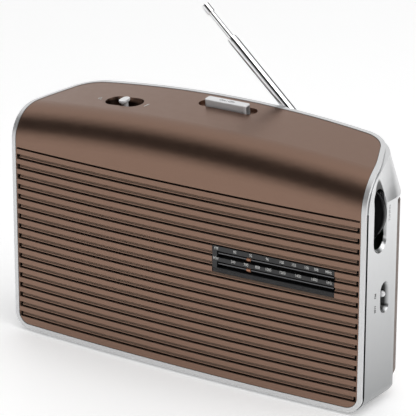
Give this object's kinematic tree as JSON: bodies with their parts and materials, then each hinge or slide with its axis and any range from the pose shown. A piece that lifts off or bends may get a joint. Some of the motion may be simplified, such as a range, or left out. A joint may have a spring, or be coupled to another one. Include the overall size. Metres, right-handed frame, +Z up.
{
  "type": "portable radio",
  "caption": "Portable table radio: louvred front in a slim surround, dial window, side tuning wheel, top slide control and key, rear battery bay and swivelling telescopic antenna.",
  "frame": {"origin": "middle of the footprint on the surface it stands on", "axes": "+X to the right seen from the front, +Y to the rear, +Z up"},
  "size_m": [0.3, 0.0838, 0.2524],
  "materials": {
    "cover_brown": "satin metallic lacquer",
    "back_brown": "satin",
    "trim_silver": "silver lacquer",
    "shell_silver": "silver lacquer",
    "control_silver": "silver lacquer",
    "key_silver": "satin",
    "wheel_black": "gloss",
    "dial_black": "gloss",
    "rod_grey": "satin",
    "pointer_copper": "gloss",
    "steel": "satin",
    "antenna_chrome": "polished",
    "swivel_grey": "satin",
    "foot_rubber": "matte",
    "board_green": "satin",
    "moulded_black": "matte",
    "ferrite": "matte",
    "copper_wire": "satin",
    "cone_paper": "matte",
    "cloth_black": "matte",
    "cell_jacket": "gloss",
    "tuner_case": "gloss"
  },
  "bodies": {
    "case": {"front_cover": "cover_brown", "rear_cover": "back_brown", "surround": "trim_silver", "shell": "shell_silver", "dial_plate": "dial_black", "dial_rods": "rod_grey", "case_screws": "steel", "speaker_screws": "steel", "contact_spring": "steel", "inlet_pins": "steel", "battery_contacts": "steel", "speaker_basket": "steel", "transformer_core": "steel", "feet": "foot_rubber", "main_board": "board_green", "board_components": "moulded_black", "power_switch": "moulded_black", "band_switch": "moulded_black", "volume_slider_body": "moulded_black", "mains_inlet": "moulded_black", "headphone_socket": "moulded_black", "battery_tray": "moulded_black", "board_posts": "moulded_black", "ferrite_clips": "moulded_black", "ferrite_rod": "ferrite", "speaker_magnet": "ferrite", "ferrite_coil": "copper_wire", "transformer_coil": "copper_wire", "speaker_cone": "cone_paper", "speaker_dust_cap": "cone_paper", "grille_cloth": "cloth_black", "battery_cells": "cell_jacket", "tuning_capacitor": "tuner_case"},
    "tuning": {"tuning_wheel": "wheel_black", "tuning_shaft": "steel"},
    "dial_pointer": {"pointer": "pointer_copper"},
    "volume": {"volume_nub": "control_silver"},
    "band": {"band_nub": "control_silver"},
    "power": {"power_key": "key_silver"},
    "door": {"battery_door": "back_brown"},
    "antenna_foot": {"antenna_swivel": "swivel_grey", "antenna_pin": "antenna_chrome"},
    "antenna_lower": {"antenna_base_tube": "antenna_chrome"},
    "antenna_centre": {"antenna_middle": "antenna_chrome"},
    "antenna_upper": {"antenna_inner": "antenna_chrome", "antenna_tip": "antenna_chrome"}
  },
  "joints": [
    {"name": "tuning_turn", "type": "hinge", "parent": "case", "child": "tuning", "pos_m": [0.1265, -0.01145, 0.1402], "axis": [0, 1, 0], "range_deg": [-46, 239]},
    {"name": "pointer_slide", "type": "slide", "parent": "case", "child": "dial_pointer", "axis": [0.9994, 0.0338, 0], "range_m": [-0.0106, 0.0544]},
    {"name": "volume_slide", "type": "slide", "parent": "case", "child": "volume", "axis": [0.9982, 0, 0.0599], "range_m": [-0.007, 0.007]},
    {"name": "band_slide", "type": "slide", "parent": "case", "child": "band", "axis": [0, 0, 1], "range_m": [-0.004, 0]},
    {"name": "power_push", "type": "slide", "parent": "case", "child": "power", "axis": [0, -0.1191, 0.9929], "range_m": [-0.0015, 0], "stiffness_N_per_m": 400},
    {"name": "door_unclip", "type": "slide", "parent": "case", "child": "door", "axis": [0, 1, 0], "range_m": [0, 0.06]},
    {"name": "antenna_turn", "type": "hinge", "parent": "case", "child": "antenna_foot", "pos_m": [0.0585, 0.03765, 0.1697], "axis": [0, 1, 0], "range_deg": [-42.2, 75]},
    {"name": "antenna_tilt", "type": "hinge", "parent": "antenna_foot", "child": "antenna_lower", "pos_m": [0.0585, 0.03765, 0.1697], "axis": [-0.6717, 0, -0.7408], "range_deg": [0, 60]},
    {"name": "antenna_middle_slide", "type": "slide", "parent": "antenna_lower", "child": "antenna_centre", "axis": [-0.7408, 0, 0.6717], "range_m": [0, 0.066]},
    {"name": "antenna_inner_slide", "type": "slide", "parent": "antenna_centre", "child": "antenna_upper", "axis": [-0.7408, 0, 0.6717], "range_m": [-0.022, 0.045]}
  ],
  "couplings": [
    {"joint": "pointer_slide", "follows": "tuning_turn", "m_per_rad": 0.013}
  ]
}
